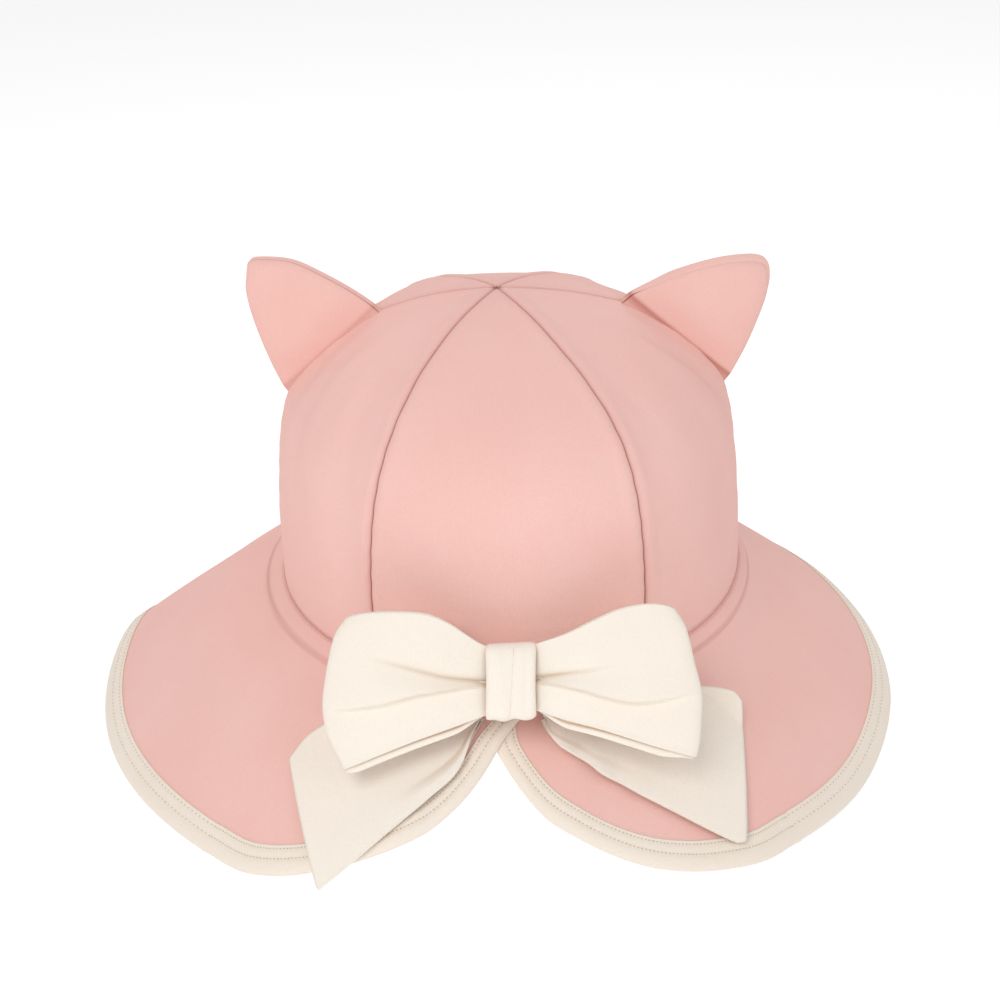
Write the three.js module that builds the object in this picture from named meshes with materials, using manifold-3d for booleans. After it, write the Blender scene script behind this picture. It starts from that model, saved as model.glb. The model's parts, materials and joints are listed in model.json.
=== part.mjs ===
// A child's sun hat with cat ears: a six-gore crown, a brim that is split at the back
// and bound along its edge, and a bow over the split.
// Millimetres, +Z up, +Y towards the wearer's face. The origin is the centre of the head opening.
import * as THREE from 'three';
import { mergeVertices } from 'three/addons/utils/BufferGeometryUtils.js';
import Module from 'manifold-3d';

const wasm = await Module();
wasm.setup();

// ---------------------------------------------------------------- driving dimensions

const OPENING_HALF_WIDTH = 80;
const OPENING_HALF_DEPTH = 92;
const DEPTH_RATIO = OPENING_HALF_DEPTH / OPENING_HALF_WIDTH;
const CROWN_HEIGHT = 99.5;
const CROWN_SIDE_HANDLE = new THREE.Vector2(82.3, 58.7);
const CROWN_TOP_HANDLE = new THREE.Vector2(84, 90);

const CLOTH = 1.2; // crown cloth
const LINING = 1.0;
const GAP = 0.4; // air between neighbouring layers
const SEAM_GAP = 0.3; // air between gores, and at a fold

const BRIM_INNER = 79;
const BRIM_REACH = 62.3; // horizontal growth from the crown seam to the rim
const BRIM_DROP = 48;
const BRIM_SAG = 0.15; // how much steeper the brim gets towards its rim
const BRIM_START = -0.3;
// Brim layers, as heights below its upper surface
const UPPER = [0, 1.0];
const INTERLINING = [1.4, 2.2];
const UNDERSIDE = [2.6, 3.6];

const BINDING_WIDTH = 8; // in plan, which is 10 mm along the slope
const BINDING_INNER = 86; // the binding's ends stop short of the crown
const BINDING_CLOTH = 1.0;
const SPLIT_HALF_GAP = 0.5; // the lobes meet at the back
const NOTCH_WIDTH = 19; // brim width left at the bottom of the notch, in plan
const LOBE_HALF = 86; // how far from the centre line a lobe's rounded corner ends
const LOBE_POWER = 1.54;

const FRONT_FOLD_Y = 104;
const SIDE_FOLD_X = 110;

// Seams of the six gores, in degrees round the crown from its back
const BACK_SEAM = 32.7;
const EAR_SEAM = 99;
const FRONT_SEAM = 150;

const SWEATBAND_OUTER = 77;
const SWEATBAND_CLOTH = 2.4;
const SWEATBAND_HEIGHT = 28;
const ELASTIC_HEIGHT = 8;
const ELASTIC_HALF_ANGLE = 60;
const LABEL = new THREE.Vector3(20, 0.6, 28);

const EAR_CLOTH = 1.2;
const EAR_HALF_THICKNESS = 7;
const EAR_ROOT_HALF = 1.2;
const EAR_BEVEL = 2;
const EAR_CENTRE = new THREE.Vector2(69.7, 84.3);
const EAR_INRADIUS = 14.2;
const EAR_CLEARANCE = 0.6;

const BOW_TILT = THREE.MathUtils.degToRad(26); // the bow faces up by this much
const BOW_CENTRE = new THREE.Vector3(0, -105.4, 8.9);
const KNOT = new THREE.Vector3(15, 24, 12); // width, height, thickness
const BOW_CLOTH = 1.6; // doubled cloth
const LOOP_MIDDLE = 6; // loop's middle plane in front of the knot's
const LOOP_HALF = 6;
const LOOP_ROOT_HALF = 3.5;
const LOOP_END = 59.4;
const TAIL = [-4.7, -2.2]; // below the brim's upper surface, so above it

const SEGMENTS = 40;
const CROWN_STEPS = 7;
const FAR = 400; // longer than the hat

// ---------------------------------------------------------------- materials

const finish = (color, roughness) => new THREE.MeshStandardMaterial({ color, roughness, metalness: 0 });
const pinkCotton = finish(0xeebfb5, 0.85);
const creamCotton = finish(0xf3eadf, 0.85);
const liningCotton = finish(0xf5ece4, 0.9);
const innerFelt = finish(0xf0efec, 0.95);
const elasticWeave = finish(0xe9e6e0, 0.7);
const labelSatin = finish(0xf8f7f4, 0.5);

// ---------------------------------------------------------------- solids

const radians = THREE.MathUtils.degToRad;
const v2 = (x, y) => new THREE.Vector2(x, y);

/** A manifold-3d solid with outward faces from any closed three.js geometry. */
function solidOf(geometry) {
  const bare = geometry.clone();
  bare.deleteAttribute('normal');
  bare.deleteAttribute('uv');
  const merged = mergeVertices(bare, 1e-4);
  const corners = merged.index.array;
  const kept = [];
  for (let i = 0; i < corners.length; i += 3) {
    const [a, b, c] = [corners[i], corners[i + 1], corners[i + 2]];
    if (a !== b && b !== c && a !== c) kept.push(a, b, c);
  }
  const vertProperties = Float32Array.from(merged.attributes.position.array);
  const make = (list) => new wasm.Manifold(
    new wasm.Mesh({ numProp: 3, vertProperties, triVerts: Uint32Array.from(list) }));
  const solid = make(kept);
  return solid.volume() > 0 ? solid : make(kept.reverse());
}

/** A named node from a solid. */
function node(name, solid, material) {
  const mesh = solid.getMesh();
  const geometry = new THREE.BufferGeometry();
  geometry.setAttribute('position', new THREE.BufferAttribute(mesh.vertProperties, 3));
  geometry.setIndex(new THREE.BufferAttribute(mesh.triVerts, 1));
  geometry.computeVertexNormals();
  const made = new THREE.Mesh(geometry, material);
  made.name = name;
  return made;
}

/** A profile of (radius, height) turned about Z, then lengthened front to back by reshape. */
function turned(profile, reshape) {
  const geometry = new THREE.LatheGeometry(profile, SEGMENTS);
  geometry.rotateX(Math.PI / 2);
  reshape(geometry);
  return solidOf(geometry);
}

/** An outline in the XY plane raised from one height to another. */
function upright(outline, low = -FAR / 2, high = FAR / 2) {
  const geometry = new THREE.ExtrudeGeometry(outline, { depth: high - low, bevelEnabled: false, curveSegments: 8 });
  geometry.translate(0, 0, low);
  return solidOf(geometry);
}

/** The part of a solid inside a box given by its low and high corners. */
function boxed(solid, low, high) {
  const size = new THREE.Vector3().subVectors(high, low);
  const box = new THREE.BoxGeometry(size.x, size.y, size.z);
  box.translate((low.x + high.x) / 2, (low.y + high.y) / 2, (low.z + high.z) / 2);
  return solid.intersect(solidOf(box));
}

/** The same solid on the other side of the hat. */
const mirrored = (solid) => solid.mirror([1, 0, 0]);

// ---------------------------------------------------------------- crown

const crownOutline = new THREE.CubicBezierCurve(
  v2(OPENING_HALF_WIDTH, 0), CROWN_SIDE_HANDLE, CROWN_TOP_HANDLE, v2(0, CROWN_HEIGHT));

const stretchDepth = (geometry) => geometry.scale(1, DEPTH_RATIO, 1);

/** The crown's profile grown outwards, or inwards where growth is negative. */
function crownProfile(growth) {
  const wide = 1 + growth / OPENING_HALF_WIDTH;
  const tall = 1 + growth / CROWN_HEIGHT;
  return crownOutline.getPoints(CROWN_STEPS).map((p) => v2(p.x * wide, p.y * tall));
}

/** A dome between two growths of the crown's profile. */
function crownShell(outer, inner) {
  return turned([...crownProfile(inner).reverse(), ...crownProfile(outer)], stretchDepth);
}

/** The whole space inside the crown's profile, for cutting what stands on it. */
function crownBlock(growth) {
  return turned([v2(0, 0), ...crownProfile(growth)], stretchDepth);
}

/** The wedge of plan between two seams, each drawn back by half a seam gap. */
function gore(from, to) {
  const middle = radians((from + to) / 2);
  const half = radians((to - from) / 2);
  const setBack = SEAM_GAP / 2 / Math.sin(half);
  const towards = (angle, length) => v2(Math.sin(angle) * length, -Math.cos(angle) * length);
  const tip = towards(middle, setBack);
  const outline = new THREE.Shape([
    tip,
    towards(middle - half, FAR).add(tip),
    towards(middle, FAR * 2).add(tip),
    towards(middle + half, FAR).add(tip),
  ]);
  const geometry = new THREE.ExtrudeGeometry(outline, { depth: FAR, bevelEnabled: false });
  geometry.translate(0, 0, -FAR / 2);
  stretchDepth(geometry);
  return solidOf(geometry);
}

function crownNodes() {
  const shell = crownShell(0, -CLOTH);
  const gores = {
    gore_back: [-BACK_SEAM, BACK_SEAM],
    gore_back_right: [BACK_SEAM, EAR_SEAM],
    gore_front_right: [EAR_SEAM, FRONT_SEAM],
    gore_front: [FRONT_SEAM, 360 - FRONT_SEAM],
    gore_front_left: [360 - FRONT_SEAM, 360 - EAR_SEAM],
    gore_back_left: [360 - EAR_SEAM, 360 - BACK_SEAM],
  };
  const nodes = Object.entries(gores).map(
    ([name, [from, to]]) => node(name, shell.intersect(gore(from, to)), pinkCotton));
  const lining = crownShell(-CLOTH - GAP, -CLOTH - GAP - LINING);
  nodes.push(node('crown_lining', lining, liningCotton));
  return nodes;
}

// ---------------------------------------------------------------- inside the crown

/** An upright ring with straight walls. */
function band(outer, cloth, low, high) {
  const inner = outer - cloth;
  const profile = [v2(outer, low), v2(outer, high), v2(inner, high), v2(inner, low), v2(outer, low)];
  return turned(profile, stretchDepth);
}

function sweatbandNodes() {
  const pocketOuter = SWEATBAND_OUTER - 0.5;
  const pocketCloth = 1.4;
  const low = -1;
  const elasticLow = 2;
  const arc = gore(-ELASTIC_HALF_ANGLE, ELASTIC_HALF_ANGLE);
  const pocket = band(pocketOuter, pocketCloth, low - 1, elasticLow + ELASTIC_HEIGHT + GAP);
  const sweatband = band(SWEATBAND_OUTER, SWEATBAND_CLOTH, low, low + SWEATBAND_HEIGHT)
    .subtract(pocket.intersect(gore(-ELASTIC_HALF_ANGLE - 1, ELASTIC_HALF_ANGLE + 1)));
  const elastic = band(pocketOuter - 0.3, 0.8, elasticLow, elasticLow + ELASTIC_HEIGHT).intersect(arc);
  const label = new THREE.BoxGeometry(LABEL.x, LABEL.y, LABEL.z);
  const labelDepth = (SWEATBAND_OUTER - SWEATBAND_CLOTH) * DEPTH_RATIO - 1.6;
  label.translate(0, -labelDepth, LABEL.z / 2 + 4);
  return [
    node('sweatband', sweatband, creamCotton),
    node('back_elastic', elastic, elasticWeave),
    node('care_label', solidOf(label), labelSatin),
  ];
}

// ---------------------------------------------------------------- brim

/** Height of the brim's upper surface at a radius, before the hat is lengthened. */
function brimHeight(radius) {
  const along = (radius - BRIM_INNER) / BRIM_REACH;
  return BRIM_START - BRIM_DROP * (along + BRIM_SAG * along * (along - 1));
}

/** Moves each point front or back, so that the brim is as wide at the front as at the sides. */
function shiftDepth(geometry) {
  const at = geometry.attributes.position;
  const extra = OPENING_HALF_DEPTH - OPENING_HALF_WIDTH;
  for (let i = 0; i < at.count; i += 1) {
    const radius = Math.hypot(at.getX(i), at.getY(i));
    at.setY(i, at.getY(i) * (1 + extra / radius));
  }
}

/** A layer that follows the brim between two heights below its upper surface. */
function brimLayer([top, bottom], inner = BRIM_INNER, reach = BRIM_REACH + 4, steps = 2) {
  const profile = [];
  for (let i = 0; i <= steps; i += 1) {
    const radius = inner + (reach * i) / steps;
    profile.push(v2(radius, brimHeight(radius)));
  }
  const lower = profile.map((p) => v2(p.x, p.y - bottom)).reverse();
  const upper = profile.map((p) => v2(p.x, p.y - top));
  return turned([...upper, ...lower, upper[0]], shiftDepth);
}

/** A point of the brim's edge at an angle from the back, for a brim width in plan. */
function edgePoint(angle, width) {
  const radius = BRIM_INNER + width;
  const extra = OPENING_HALF_DEPTH - OPENING_HALF_WIDTH;
  return v2(radius * Math.sin(angle), -(radius + extra) * Math.cos(angle));
}

/** The right half of the brim's edge, from the split round to the front, drawn in by inset. */
function halfEdge(inset) {
  const cornerSteps = 7;
  const rimSteps = 17;
  const cornerAngle = Math.asin(LOBE_HALF / (BRIM_INNER + BRIM_REACH));
  const edge = (step) => {
    if (step > cornerSteps) {
      const share = (step - cornerSteps) / rimSteps;
      return edgePoint(cornerAngle + share * (Math.PI - cornerAngle), BRIM_REACH);
    }
    const u = (step / cornerSteps) ** 1.6;
    const grown = (1 - (1 - u) ** LOBE_POWER) ** (1 / LOBE_POWER);
    const width = NOTCH_WIDTH + (BRIM_REACH - NOTCH_WIDTH) * grown;
    const point = edgePoint(Math.asin((u * LOBE_HALF) / (BRIM_INNER + width)), width);
    return point.setX(point.x + SPLIT_HALF_GAP * (1 - u));
  };
  const points = [v2(SPLIT_HALF_GAP + inset, -OPENING_HALF_DEPTH / 2)];
  for (let step = 0; step < cornerSteps + rimSteps; step += 1) {
    const along = edge(step + 0.5).sub(edge(Math.max(step - 0.5, 0))).normalize();
    const point = edge(step).add(v2(-along.y, along.x).multiplyScalar(inset));
    if (point.x >= SPLIT_HALF_GAP + inset - 0.01) points.push(point);
  }
  return points;
}

/** The brim's whole plan outline, drawn in by inset, split at the back. */
function brimOutline(inset) {
  const right = halfEdge(inset);
  const front = edgePoint(Math.PI, BRIM_REACH - inset);
  const left = right.map((p) => v2(-p.x, p.y)).reverse();
  return new THREE.Shape([...right, front, ...left]);
}

const FOLD = SEAM_GAP / 2;
/** The four regions of the brim: the part that stays, and the three flaps that fold up. */
const brimRegions = {
  rear: [v2(-SIDE_FOLD_X + FOLD, -FAR), v2(SIDE_FOLD_X - FOLD, FRONT_FOLD_Y - FOLD)],
  front: [v2(-FAR, FRONT_FOLD_Y + FOLD), v2(FAR, FAR)],
  left: [v2(-FAR, -FAR), v2(-SIDE_FOLD_X - FOLD, FAR)],
  right: [v2(SIDE_FOLD_X + FOLD, -FAR), v2(FAR, FAR)],
};

const inRegion = (solid, [low, high]) => boxed(
  solid, new THREE.Vector3(low.x, low.y, -FAR), new THREE.Vector3(high.x, high.y, FAR));

function brimNodes() {
  const cut = upright(brimOutline(BINDING_CLOTH + GAP));
  const layers = {
    upper: [UPPER, pinkCotton],
    interlining: [INTERLINING, innerFelt],
    underside: [UNDERSIDE, pinkCotton],
  };
  const nodes = [];
  for (const [layer, [heights, material]] of Object.entries(layers)) {
    const whole = brimLayer(heights).intersect(cut);
    for (const [region, corners] of Object.entries(brimRegions)) {
      nodes.push(node(`brim_${region}_${layer}`, inRegion(whole, corners), material));
    }
  }
  return nodes;
}

function bindingNodes() {
  const thick = BINDING_CLOTH + GAP;
  const outer = brimLayer([-thick, UNDERSIDE[1] + thick], BINDING_INNER).intersect(upright(brimOutline(0)));
  const opening = upright(brimOutline(BINDING_WIDTH));
  const core = brimLayer([-GAP, UNDERSIDE[1] + GAP]).intersect(upright(brimOutline(BINDING_CLOTH)));
  const binding = outer.subtract(opening).subtract(core);
  const nodes = [];
  for (const region of ['front', 'left', 'right']) {
    const piece = inRegion(binding, brimRegions[region]);
    nodes.push(node(`binding_${region}`, piece, creamCotton));
  }
  const rear = inRegion(binding, brimRegions.rear);
  const quarters = {
    binding_rear_left: [v2(-FAR, -FAR), v2(0, 0)],
    binding_rear_right: [v2(0, -FAR), v2(FAR, 0)],
    binding_corner_left: [v2(-FAR, 0), v2(0, FAR)],
    binding_corner_right: [v2(0, 0), v2(FAR, FAR)],
  };
  for (const [name, corners] of Object.entries(quarters)) {
    nodes.push(node(name, inRegion(rear, corners), creamCotton));
  }
  return nodes;
}

// ---------------------------------------------------------------- ears

/** Puts a geometry drawn as (radius, height, thickness) into the right ear's upright plane. */
function intoEarPlane(geometry) {
  const angle = radians(EAR_SEAM);
  const outwards = new THREE.Vector3(Math.sin(angle), -Math.cos(angle) * DEPTH_RATIO, 0).normalize();
  const up = new THREE.Vector3(0, 0, 1);
  const across = new THREE.Vector3().crossVectors(outwards, up);
  return geometry.applyMatrix4(new THREE.Matrix4().makeBasis(outwards, up, across));
}

/** The ear's flat outline, with its root inside the crown. */
function earOutline(inset) {
  const shape = new THREE.Path();
  shape.moveTo(43, 80);
  shape.lineTo(43, 88);
  shape.quadraticCurveTo(64, 103, 84.5, 109.5);
  shape.quadraticCurveTo(89.8, 111, 89.4, 106);
  shape.quadraticCurveTo(87.5, 78, 77, 49);
  shape.lineTo(70, 50);
  const scale = 1 - inset / EAR_INRADIUS;
  const points = shape.getPoints(4).map((p) => p.sub(EAR_CENTRE).multiplyScalar(scale).add(EAR_CENTRE));
  return new THREE.Shape(points);
}

/** How thick the ear is at each height over its root line: thin at the root, fullest low down. */
function earSection(inset) {
  const root = 85;
  const heights = [root, 101, 105, 111, 121, 131, 142];
  const halves = [EAR_ROOT_HALF, EAR_ROOT_HALF, 4.2, EAR_HALF_THICKNESS, EAR_HALF_THICKNESS, 5, 2.6];
  const side = heights.map((height, i) => v2(height, Math.max(halves[i] - inset, 0.25)));
  return new THREE.Shape([...side, ...side.map((p) => v2(p.x, -p.y)).reverse()]);
}

const EAR_ROOT_FALL = Math.atan2(37, 31.8); // the root line falls outwards at this angle

function earForm(inset) {
  const half = EAR_HALF_THICKNESS - inset;
  const bevel = EAR_BEVEL - inset;
  const flat = new THREE.ExtrudeGeometry(earOutline(inset), {
    depth: 2 * (half - bevel),
    bevelThickness: bevel,
    bevelSize: bevel,
    bevelOffset: -bevel,
    bevelSegments: 2,
  });
  flat.translate(0, 0, bevel - half);
  const section = new THREE.ExtrudeGeometry(earSection(inset), { depth: FAR, bevelEnabled: false });
  section.translate(0, 0, -FAR / 2);
  section.rotateX(Math.PI / 2);
  section.rotateZ(Math.PI / 2 - EAR_ROOT_FALL);
  return solidOf(intoEarPlane(flat)).intersect(solidOf(intoEarPlane(section)));
}

/** The half space on one side of the ear's middle plane. */
function earSide(sign) {
  const geometry = new THREE.BoxGeometry(FAR, FAR, FAR);
  geometry.translate(0, 0, sign * (FAR / 2 + SEAM_GAP / 2));
  return solidOf(intoEarPlane(geometry));
}

function earNodes() {
  const crown = crownBlock(EAR_CLEARANCE);
  const shell = earForm(0).subtract(earForm(EAR_CLOTH)).subtract(crown);
  const pieces = {
    back: [shell.intersect(earSide(1)), pinkCotton],
    front: [shell.intersect(earSide(-1)), pinkCotton],
    filling: [earForm(EAR_CLOTH + GAP).subtract(crown), innerFelt],
  };
  const nodes = [];
  for (const [name, [solid, material]] of Object.entries(pieces)) {
    nodes.push(node(`ear_right_${name}`, solid, material));
    nodes.push(node(`ear_left_${name}`, mirrored(solid), material));
  }
  return nodes;
}

// ---------------------------------------------------------------- bow

/** Puts a geometry drawn as (right, up, out of the bow) where the bow is. */
function intoBow(geometry) {
  const right = new THREE.Vector3(1, 0, 0);
  const up = new THREE.Vector3(0, Math.sin(BOW_TILT), Math.cos(BOW_TILT));
  const out = new THREE.Vector3().crossVectors(right, up);
  const matrix = new THREE.Matrix4().makeBasis(right, up, out).setPosition(BOW_CENTRE);
  return geometry.applyMatrix4(matrix);
}

/** An outline seen from in front of the bow, pushed through it. */
function throughBow(points, curved = false) {
  const drawn = curved ? new THREE.SplineCurve(points).getPoints(points.length * 2) : points;
  const depth = 80;
  const geometry = new THREE.ExtrudeGeometry(new THREE.Shape(drawn), { depth, bevelEnabled: false });
  geometry.translate(0, 0, -depth / 2);
  return solidOf(intoBow(geometry));
}

/** A section drawn as (up, out), run across the bow between two places. */
function acrossBow(shape, from, to) {
  const geometry = new THREE.ExtrudeGeometry(shape, { depth: to - from, bevelEnabled: false, curveSegments: 3 });
  geometry.translate(0, 0, from);
  geometry.applyMatrix4(new THREE.Matrix4().makeBasis(
    new THREE.Vector3(0, 1, 0), new THREE.Vector3(0, 0, 1), new THREE.Vector3(1, 0, 0)));
  return solidOf(intoBow(geometry));
}

/** A rectangle with round corners about the middle. */
function rounded(width, height, radius) {
  const [w, h] = [width / 2, height / 2];
  const shape = new THREE.Shape();
  shape.moveTo(radius - w, -h);
  shape.lineTo(w - radius, -h);
  shape.absarc(w - radius, radius - h, radius, -Math.PI / 2, 0);
  shape.lineTo(w, h - radius);
  shape.absarc(w - radius, h - radius, radius, 0, Math.PI / 2);
  shape.lineTo(radius - w, h);
  shape.absarc(radius - w, h - radius, radius, Math.PI / 2, Math.PI);
  shape.lineTo(-w, radius - h);
  shape.absarc(radius - w, radius - h, radius, Math.PI, 1.5 * Math.PI);
  return shape;
}

/** The loop's section from above: a folded band, thin at the knot and round at its end. */
function loopSection(inset) {
  const start = KNOT.x / 2 + GAP + inset;
  const end = LOOP_END - inset;
  const half = LOOP_HALF - inset;
  const root = LOOP_ROOT_HALF - inset;
  const low = LOOP_MIDDLE;
  const shape = new THREE.Shape();
  shape.moveTo(start, low - root);
  shape.bezierCurveTo(start + 12, low - half, end - 12, low - half, end - half, low - half);
  shape.absarc(end - half, low, half, -Math.PI / 2, Math.PI / 2);
  shape.bezierCurveTo(end - 12, low + half, start + 12, low + half, start, low + root);
  return shape;
}

/** A band bent to the loop's section, running up and down the bow. */
function loopBand() {
  const height = 80;
  const make = (inset) => {
    const geometry = new THREE.ExtrudeGeometry(
      loopSection(inset), { depth: height, bevelEnabled: false, curveSegments: 6 });
    geometry.translate(0, 0, -height / 2);
    geometry.applyMatrix4(new THREE.Matrix4().makeBasis(
      new THREE.Vector3(1, 0, 0), new THREE.Vector3(0, 0, 1), new THREE.Vector3(0, 1, 0)));
    return solidOf(intoBow(geometry));
  };
  return make(0).subtract(make(BOW_CLOTH));
}

const loopOutlines = {
  right: [[6, -11], [6, 12], [21.7, 18], [43.7, 24.8], [53, 21.4], [62, 3], [61, -25], [25, -15]],
  left: [[-6, -11.5], [-19, -17.3], [-52, -28.3], [-62, -17], [-61, 8], [-47.5, 21], [-19, 18], [-6, 10]],
};

const tailOutlines = {
  right: [[9, -11], [60.4, -2.2], [70.4, -4.1], [73.9, -7.9], [73.9, -47.2], [72, -51.3], [28, -29.9], [9, -16]],
  left: [[-9, -18.9], [-22, -37.7], [-50.6, -58], [-60.7, -66], [-69.5, -25.8], [-57, -16.7], [-9, -12]],
};

const asPoints = (pairs) => pairs.map(([x, y]) => v2(x, y));

function bowNodes() {
  const knotOuter = rounded(KNOT.y, KNOT.z, 5);
  const inside = (gap) => rounded(KNOT.y - 2 * gap, KNOT.z - 2 * gap, 4);
  const halfWidth = KNOT.x / 2;
  const knot = acrossBow(knotOuter, -halfWidth, halfWidth)
    .subtract(acrossBow(inside(BOW_CLOTH), -FAR, FAR));
  const core = acrossBow(inside(BOW_CLOTH + GAP), -halfWidth, halfWidth);
  const nodes = [node('bow_knot', knot, creamCotton), node('bow_core', core, creamCotton)];
  const band = { right: loopBand() };
  band.left = mirrored(band.right);
  const tailLayer = brimLayer(TAIL, BRIM_INNER + 8, BRIM_REACH + 4, 3);
  for (const side of ['left', 'right']) {
    const loop = band[side].intersect(throughBow(asPoints(loopOutlines[side])));
    const tail = tailLayer.intersect(throughBow(asPoints(tailOutlines[side])));
    nodes.push(node(`bow_loop_${side}`, loop, creamCotton));
    nodes.push(node(`bow_tail_${side}`, tail, creamCotton));
  }
  return nodes;
}

// ---------------------------------------------------------------- the hat

const hat = new THREE.Group();
hat.add(...crownNodes(), ...sweatbandNodes(), ...brimNodes(), ...bindingNodes(), ...earNodes(), ...bowNodes());

export default hat;
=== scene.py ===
"""A child's sun hat with cat ears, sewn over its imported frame.

Every class below is one sub-assembly. Sizes are in millimetres and become metres when a
corner of the mesh is placed. Round the hat, angles are in degrees from the back, with the
right side positive.
"""

import json
import logging
import math
from collections.abc import Callable, Sequence
from dataclasses import dataclass, field
from enum import Enum
from typing import ClassVar

import bmesh
import bpy
from mathutils import Matrix, Vector, noise


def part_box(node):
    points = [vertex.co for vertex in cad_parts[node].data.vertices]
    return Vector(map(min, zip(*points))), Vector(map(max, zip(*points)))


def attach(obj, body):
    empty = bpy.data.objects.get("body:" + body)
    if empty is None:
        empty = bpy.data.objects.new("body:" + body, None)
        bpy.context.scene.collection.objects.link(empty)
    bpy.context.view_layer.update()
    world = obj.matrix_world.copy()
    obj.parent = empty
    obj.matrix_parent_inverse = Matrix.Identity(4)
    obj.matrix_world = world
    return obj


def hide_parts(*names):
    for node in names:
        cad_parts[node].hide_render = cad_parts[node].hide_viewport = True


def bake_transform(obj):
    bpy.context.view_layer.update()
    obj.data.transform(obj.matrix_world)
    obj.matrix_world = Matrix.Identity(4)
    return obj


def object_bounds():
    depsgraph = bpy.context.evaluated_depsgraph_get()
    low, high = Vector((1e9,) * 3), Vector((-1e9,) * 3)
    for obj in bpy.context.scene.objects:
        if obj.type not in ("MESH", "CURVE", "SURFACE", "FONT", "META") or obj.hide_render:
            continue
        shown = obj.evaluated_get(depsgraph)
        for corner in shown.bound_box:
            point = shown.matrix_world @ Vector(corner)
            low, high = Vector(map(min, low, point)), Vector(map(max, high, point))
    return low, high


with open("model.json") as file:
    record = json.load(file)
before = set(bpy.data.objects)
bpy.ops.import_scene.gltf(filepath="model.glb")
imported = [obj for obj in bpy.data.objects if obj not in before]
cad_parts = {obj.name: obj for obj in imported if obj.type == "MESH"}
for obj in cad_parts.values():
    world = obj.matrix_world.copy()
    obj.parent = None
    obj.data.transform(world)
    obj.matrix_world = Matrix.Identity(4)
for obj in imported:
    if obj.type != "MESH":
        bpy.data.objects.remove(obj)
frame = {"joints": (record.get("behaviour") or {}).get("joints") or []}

MM = 0.001
LOG = logging.getLogger("hat")
CAD_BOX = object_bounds()

Place = Callable[[float, float], Vector]
Amount = Callable[[float, float], float]
Points = Sequence[tuple[float, float]]


class Side(Enum):
    """The two sides of the hat, as signs of X."""

    LEFT = -1
    RIGHT = 1

    @property
    def word(self) -> str:
        """The side's name in lower case."""
        return self.name.lower()


# ---------------------------------------------------------------- small sums


def smooth(low: float, high: float, value: float) -> float:
    """Rises softly from 0 at low to 1 at high.

    Args:
        low: Value where the rise starts.
        high: Value where it ends.
        value: Value looked up.

    Returns:
        A share from 0 to 1.
    """
    share = min(max((value - low) / (high - low), 0.0), 1.0)
    return share * share * (3 - 2 * share)


def mix(start: float, end: float, share: float) -> float:
    """The number at that share of the way from start to end."""
    return start + (end - start) * share


def bump(centre: float, width: float, value: float) -> float:
    """A bell of height 1 at centre."""
    return math.exp(-(((value - centre) / width) ** 2))


def through(points: Points, x: float) -> float:
    """The height at x of a smooth curve through points.

    Args:
        points: Pairs of x and height, in order of x.
        x: Where to read the curve. Past the ends it stays level.

    Returns:
        The height.
    """
    if x <= points[0][0]:
        return points[0][1]
    if x >= points[-1][0]:
        return points[-1][1]
    i = max(k for k in range(len(points) - 1) if points[k][0] <= x)

    def slope(k: int) -> float:
        """Slope of the curve at one of its points."""
        low, high = max(k - 1, 0), min(k + 1, len(points) - 1)
        return (points[high][1] - points[low][1]) / (points[high][0] - points[low][0])

    (x0, y0), (x1, y1) = points[i], points[i + 1]
    span = x1 - x0
    t = (x - x0) / span
    start = y0 * (1 + 2 * t) * (1 - t) ** 2 + slope(i) * span * t * (1 - t) ** 2
    end = y1 * t * t * (3 - 2 * t) + slope(i + 1) * span * t * t * (t - 1)
    return start + end


def along(points: Points, share: float) -> Vector:
    """The point at a share of the way along a smooth line through flat points."""
    marks = [0.0]
    for (x0, y0), (x1, y1) in zip(points, points[1:]):
        marks.append(marks[-1] + math.hypot(x1 - x0, y1 - y0))
    here = share * marks[-1]
    x = through([(m, p[0]) for m, p in zip(marks, points)], here)
    y = through([(m, p[1]) for m, p in zip(marks, points)], here)
    return Vector((x, y))


def bezier(points: Sequence[Vector], t: float) -> Vector:
    """The point at t of the Bezier curve with those control points."""
    row = list(points)
    while len(row) > 1:
        row = [a.lerp(b, t) for a, b in zip(row, row[1:])]
    return row[0]


def raised(place: Place, u: float, v: float, height: float) -> Vector:
    """The point of a surface at u, v, moved off it along its outward normal.

    Args:
        place: The surface, whose u and v run from 0 to 1.
        u: First parameter.
        v: Second parameter.
        height: Distance off the surface, in millimetres.

    Returns:
        The raised point.
    """
    step = 1e-3
    across = place(u + step, v) - place(u - step, v)
    upwards = place(u, v + step) - place(u, v - step)
    return place(u, v) + across.cross(upwards).normalized() * height


# ---------------------------------------------------------------- finishes


def linear(colour: str) -> tuple[float, float, float, float]:
    """An sRGB hex colour as the linear colour that shaders take."""
    parts = [int(colour[i : i + 2], 16) / 255 for i in (1, 3, 5)]
    red, green, blue = (p / 12.92 if p < 0.04045 else ((p + 0.055) / 1.055) ** 2.4 for p in parts)
    return red, green, blue, 1.0


def add(tree: bpy.types.NodeTree, kind: str, inputs: dict | None = None,
        **settings: object) -> bpy.types.Node:
    """Adds a node with its settings, values and links.

    Args:
        tree: The node tree.
        kind: The node's type name.
        inputs: Socket name or number to a value, or to the socket linked to it.
        settings: Properties of the node.

    Returns:
        The new node.
    """
    node = tree.nodes.new(kind)
    for key, value in settings.items():
        setattr(node, key, value)
    for key, value in (inputs or {}).items():
        if isinstance(value, bpy.types.NodeSocket):
            tree.links.new(value, node.inputs[key])
        else:
            node.inputs[key].default_value = value
    return node


def blank(name: str) -> tuple[bpy.types.Material, bpy.types.NodeTree]:
    """A new material with an empty node tree."""
    material = bpy.data.materials.new(name)
    material.use_nodes = True
    material.node_tree.nodes.clear()
    return material, material.node_tree


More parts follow.
